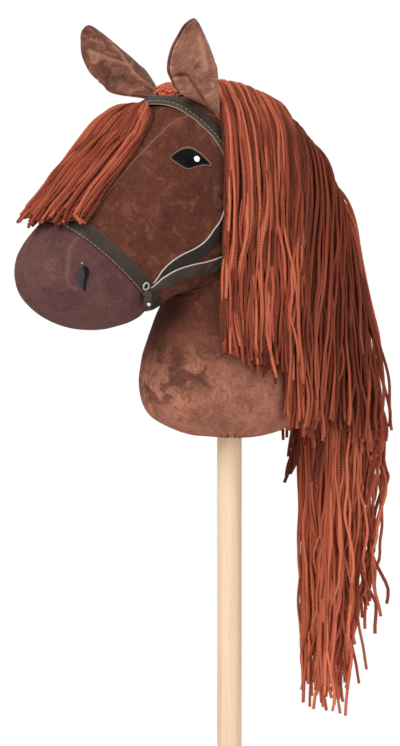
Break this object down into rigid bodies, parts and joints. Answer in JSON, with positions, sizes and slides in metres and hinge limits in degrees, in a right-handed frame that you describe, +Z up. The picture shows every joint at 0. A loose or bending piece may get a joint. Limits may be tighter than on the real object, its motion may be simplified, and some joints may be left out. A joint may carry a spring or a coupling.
{
  "type": "hobby horse",
  "caption": "Ride-on toy: stuffed plush horse's head and neck with yarn mane and bridle, pulled onto a plain round wooden stick.",
  "frame": {"origin": "centre of the flat lower end of the stick", "axes": "+Z up along the stick, -Y the way the horse looks, +X its left side"},
  "size_m": [0.219, 0.4201, 0.9982],
  "materials": {
    "beech": "smooth sanded pale hardwood, unvarnished",
    "socket_plastic": "plain moulded tube",
    "plush": "short-pile reddish brown plush",
    "suede": "purplish brown suede-like fabric",
    "ear_lining": "short-pile brown plush, lighter inside",
    "filling": "white fibre filling",
    "strap_leather": "dark brown-grey leathercloth",
    "strap_lining": "pale cut edge and backing",
    "stud_metal": "small domed rivet",
    "eye_border": "light brown felt",
    "eye_black": "black felt-backed film, slight sheen",
    "eye_white": "white embroidered dot",
    "nostril_felt": "dark grey felt, black inside",
    "tape": "woven tape",
    "yarn": "twisted rust-orange yarn",
    "cord": "drawstring"
  },
  "bodies": {
    "stick": {"pole": "beech"},
    "head": {"socket_tube": "socket_plastic", "side_panel_left": "plush", "side_panel_right": "plush", "muzzle_panel_left": "suede", "muzzle_panel_right": "suede", "forehead_gusset": "plush", "neck_stuffing": "filling", "head_stuffing": "filling", "muzzle_stuffing": "filling", "noseband": "strap_leather", "headpiece_lining": "strap_lining", "headpiece": "strap_leather", "cheek_strap_left": "strap_leather", "cheek_strap_right": "strap_leather", "rein": "strap_leather", "eye_border_left": "eye_border", "eye_border_right": "eye_border", "eye_left": "eye_black", "eye_right": "eye_black", "eye_highlight_left": "eye_white", "eye_highlight_right": "eye_white", "nostril_left": "nostril_felt", "nostril_right": "nostril_felt", "strap_tab_left": "strap_leather", "strap_tab_right": "strap_leather", "strap_stud_left": "stud_metal", "strap_stud_right": "stud_metal", "ear_outer_left": "plush", "ear_outer_right": "plush", "ear_inner_left": "ear_lining", "ear_inner_right": "ear_lining", "mane_tape": "tape", "mane_back": "yarn", "forelock": "yarn", "mane_left": "yarn", "mane_right": "yarn", "neck_tie": "cord"}
  },
  "joints": [
    {"name": "head_lift", "type": "slide", "parent": "stick", "child": "head", "axis": [0, 0, 1], "range_m": [0, 0.17]}
  ]
}
